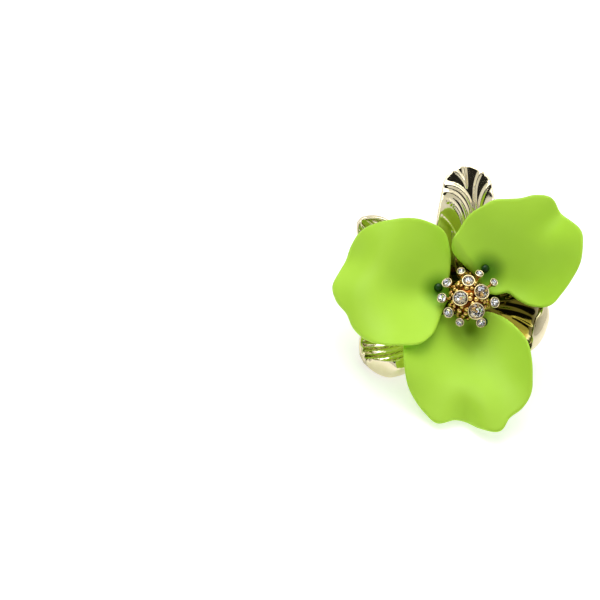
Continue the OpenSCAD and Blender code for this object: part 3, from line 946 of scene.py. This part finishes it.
def crystal(name, cup, radius, depth):
    """A crystal in its cup, turned a little differently in each."""
    place = (
        cup_place(cup)
        @ Matrix.Translation((0, 0, -depth * GIRDLE_DEPTH))
        @ Matrix.Rotation(cup.x * STONE_TURN, 4, "Z")
    )
    points, faces, slots = brilliant(radius)
    shell = Shell()
    shell.add(turned(points, place), faces, slots)
    stand_for(shell.object("cut_" + name, [GLASS, FOIL], smooth=False), name)


def finish_node(node, finish):
    """Gives a node that keeps its own mesh its material."""
    mesh = frame["nodes"][node].data
    mesh.materials.clear()
    mesh.materials.append(finish)
    mesh.polygons.foreach_set("material_index", [0] * len(mesh.polygons))


# Floor, light and camera

# The photo's frame in pixels: its side, the place of the flower's middle and the pixels of a millimetre
FRAME_SIDE = 600
FLOWER_X = 467.4
FLOWER_Y = 306.3
PIXEL_SCALE = 6

# Angle of the view below the flower's axis, distance of the camera and width of its sensor, in millimetres
VIEW_TILT = 12
VIEW_DISTANCE = 1000
SENSOR = 36

# The picture's right and top and the way back to the camera
RIGHT = TURNED @ Vector((1, 0, 0))
BACK = TURNED @ Vector((0, -math.sin(math.radians(VIEW_TILT)), math.cos(math.radians(VIEW_TILT))))
UP = BACK.cross(RIGHT)

# A row a light: name, the way to it and its power; all are one size, at one distance, in metres
LIGHTS = [
    ("top_box", UP + BACK * 0.35, 1.34),
    ("right_box", UP + BACK * 0.35 + RIGHT * 0.8, 0.18),
    ("high_box", UP + BACK, 1.3),
]
LIGHT_DISTANCE = 0.5
LIGHT_WIDTH = 0.5
LIGHT_HEIGHT = 0.35

# Surroundings: the strongest light from the right and the white that the camera sees
SOFT_LIGHT = 0.7
GROUND = 1.1
# The tent's opening: its lift above the camera, the angles of its clear part and its edge and the light
# in it, then the light of the tent's wall from low to high
OPENING_LIFT = 0.14
OPENING_ANGLE = 21
OPENING_EDGE = 27
OPENING_LIGHT = 0.02
WALL_LIGHT = (0.8, 1.0)
# The mosaic: the scale of its cells and the light of dark and of bright ones
CELL_SCALE = 6
CELL_LIGHT = (0.01, 2.0)


def floor():
    """A white table that glows a little, so that it is as pale as the photo's ground."""
    size = 1.5
    mesh = bpy.data.meshes.new("floor")
    corners = [(-size, -size, 0), (size, -size, 0), (size, size, 0), (-size, size, 0)]
    mesh.from_pydata(corners, [], [(0, 1, 2, 3)])
    obj = bpy.data.objects.new("floor", mesh)
    bpy.context.scene.collection.objects.link(obj)
    made, tree = material("white_table")
    tree.surface({
        "Base Color": tree.tones(tree.noise(0.01), (0.7, 0.7, 0.7), (0.72, 0.72, 0.72)),
        "Roughness": 0.9,
        "Specular IOR Level": 0.1,
        "Emission Color": (1, 1, 1, 1),
        "Emission Strength": 0.6,
    })
    mesh.materials.append(made)


def softbox(name, direction, power):
    """A soft light aimed at the flower, which the crystals don't show."""
    data = bpy.data.lights.new(name, "AREA")
    data.shape = "RECTANGLE"
    data.size = LIGHT_WIDTH
    data.size_y = LIGHT_HEIGHT
    data.energy = power
    obj = bpy.data.objects.new(name, data)
    bpy.context.scene.collection.objects.link(obj)
    direction = direction.normalized()
    obj.location = spot(0, 0) + direction * LIGHT_DISTANCE
    obj.rotation_euler = direction.to_track_quat("Z", "Y").to_euler()
    obj.visible_transmission = False


def world():
    """Soft light from the picture's right, with other surroundings for gloss and for glass.

    Gloss sees a white tent that opens towards the camera, and glass a mosaic of bright and dark cells.
    """
    made = bpy.data.worlds.new("studio")
    bpy.context.scene.world = made
    tree = Tree(made)
    way = tree.add("TexCoord", "Generated")
    light = tree.eased(tree.vector("DOT_PRODUCT", way, RIGHT), 0.2, 1, 0, SOFT_LIGHT)
    opening = (BACK + UP * OPENING_LIFT).normalized()
    edge = math.cos(math.radians(OPENING_EDGE))
    clear = math.cos(math.radians(OPENING_ANGLE))
    tent = tree.eased(tree.vector("DOT_PRODUCT", way, opening), edge, clear, 1, OPENING_LIGHT)
    wall = tree.eased(tree.vector("DOT_PRODUCT", way, UP), -0.6, 0.9, *WALL_LIGHT)
    tent = tree.add("Math", "Value", {0: tent, 1: wall}, operation="MULTIPLY")
    cells = tree.add("TexVoronoi", "Color", {"Vector": way, "Scale": CELL_SCALE})
    mosaic = tree.eased(tree.add("SeparateColor", "Red", {"Color": cells}), 0.5, 0.6, *CELL_LIGHT)
    for ray, seen in (("Is Glossy Ray", tent), ("Is Transmission Ray", mosaic), ("Is Camera Ray", GROUND)):
        light = tree.add("Mix", "Result", {"Factor": tree.add("LightPath", ray), "A": light, "B": seen})
    tree.feed(tree.nodes["Background"].inputs, {"Strength": light, "Color": (1, 1, 1, 1)})


def camera():
    """A long lens on the photo's frame, with the flower where the photo has it."""
    data = bpy.data.cameras.new("camera")
    data.sensor_width = SENSOR
    data.lens = SENSOR * VIEW_DISTANCE / (FRAME_SIDE / PIXEL_SCALE)
    data.clip_end = 10
    obj = bpy.data.objects.new("camera", data)
    bpy.context.scene.collection.objects.link(obj)
    aim = REST + RIGHT * ((FRAME_SIDE / 2 - FLOWER_X) / PIXEL_SCALE)
    aim += UP * ((FLOWER_Y - FRAME_SIDE / 2) / PIXEL_SCALE)
    axes = Matrix((RIGHT, UP, BACK)).transposed().to_4x4()
    obj.matrix_world = Matrix.Translation((aim + BACK * VIEW_DISTANCE) * UNIT) @ axes
    bpy.context.scene.camera = obj


for which in PETALS:
    petal(which)
leaf_rosette()
stamen()
for i, cup in enumerate(LARGE_CUPS):
    crystal("crystal_large_%d" % (i + 1), cup, LARGE_STONE * cup.share, LARGE_DEPTH)
for i, cup in enumerate(SMALL_CUPS):
    crystal("crystal_small_%d" % (i + 1), cup, SMALL_STONE * cup.share, SMALL_DEPTH)
for which in PETALS:
    finish_node("petal_pin_" + which, PIN_ENAMEL)
finish_node("ear_post", POST_METAL)

floor()
world()
for light in LIGHTS:
    softbox(*light)
camera()
bpy.context.scene.view_settings.view_transform = "Standard"
bpy.context.scene.view_settings.look = "None"
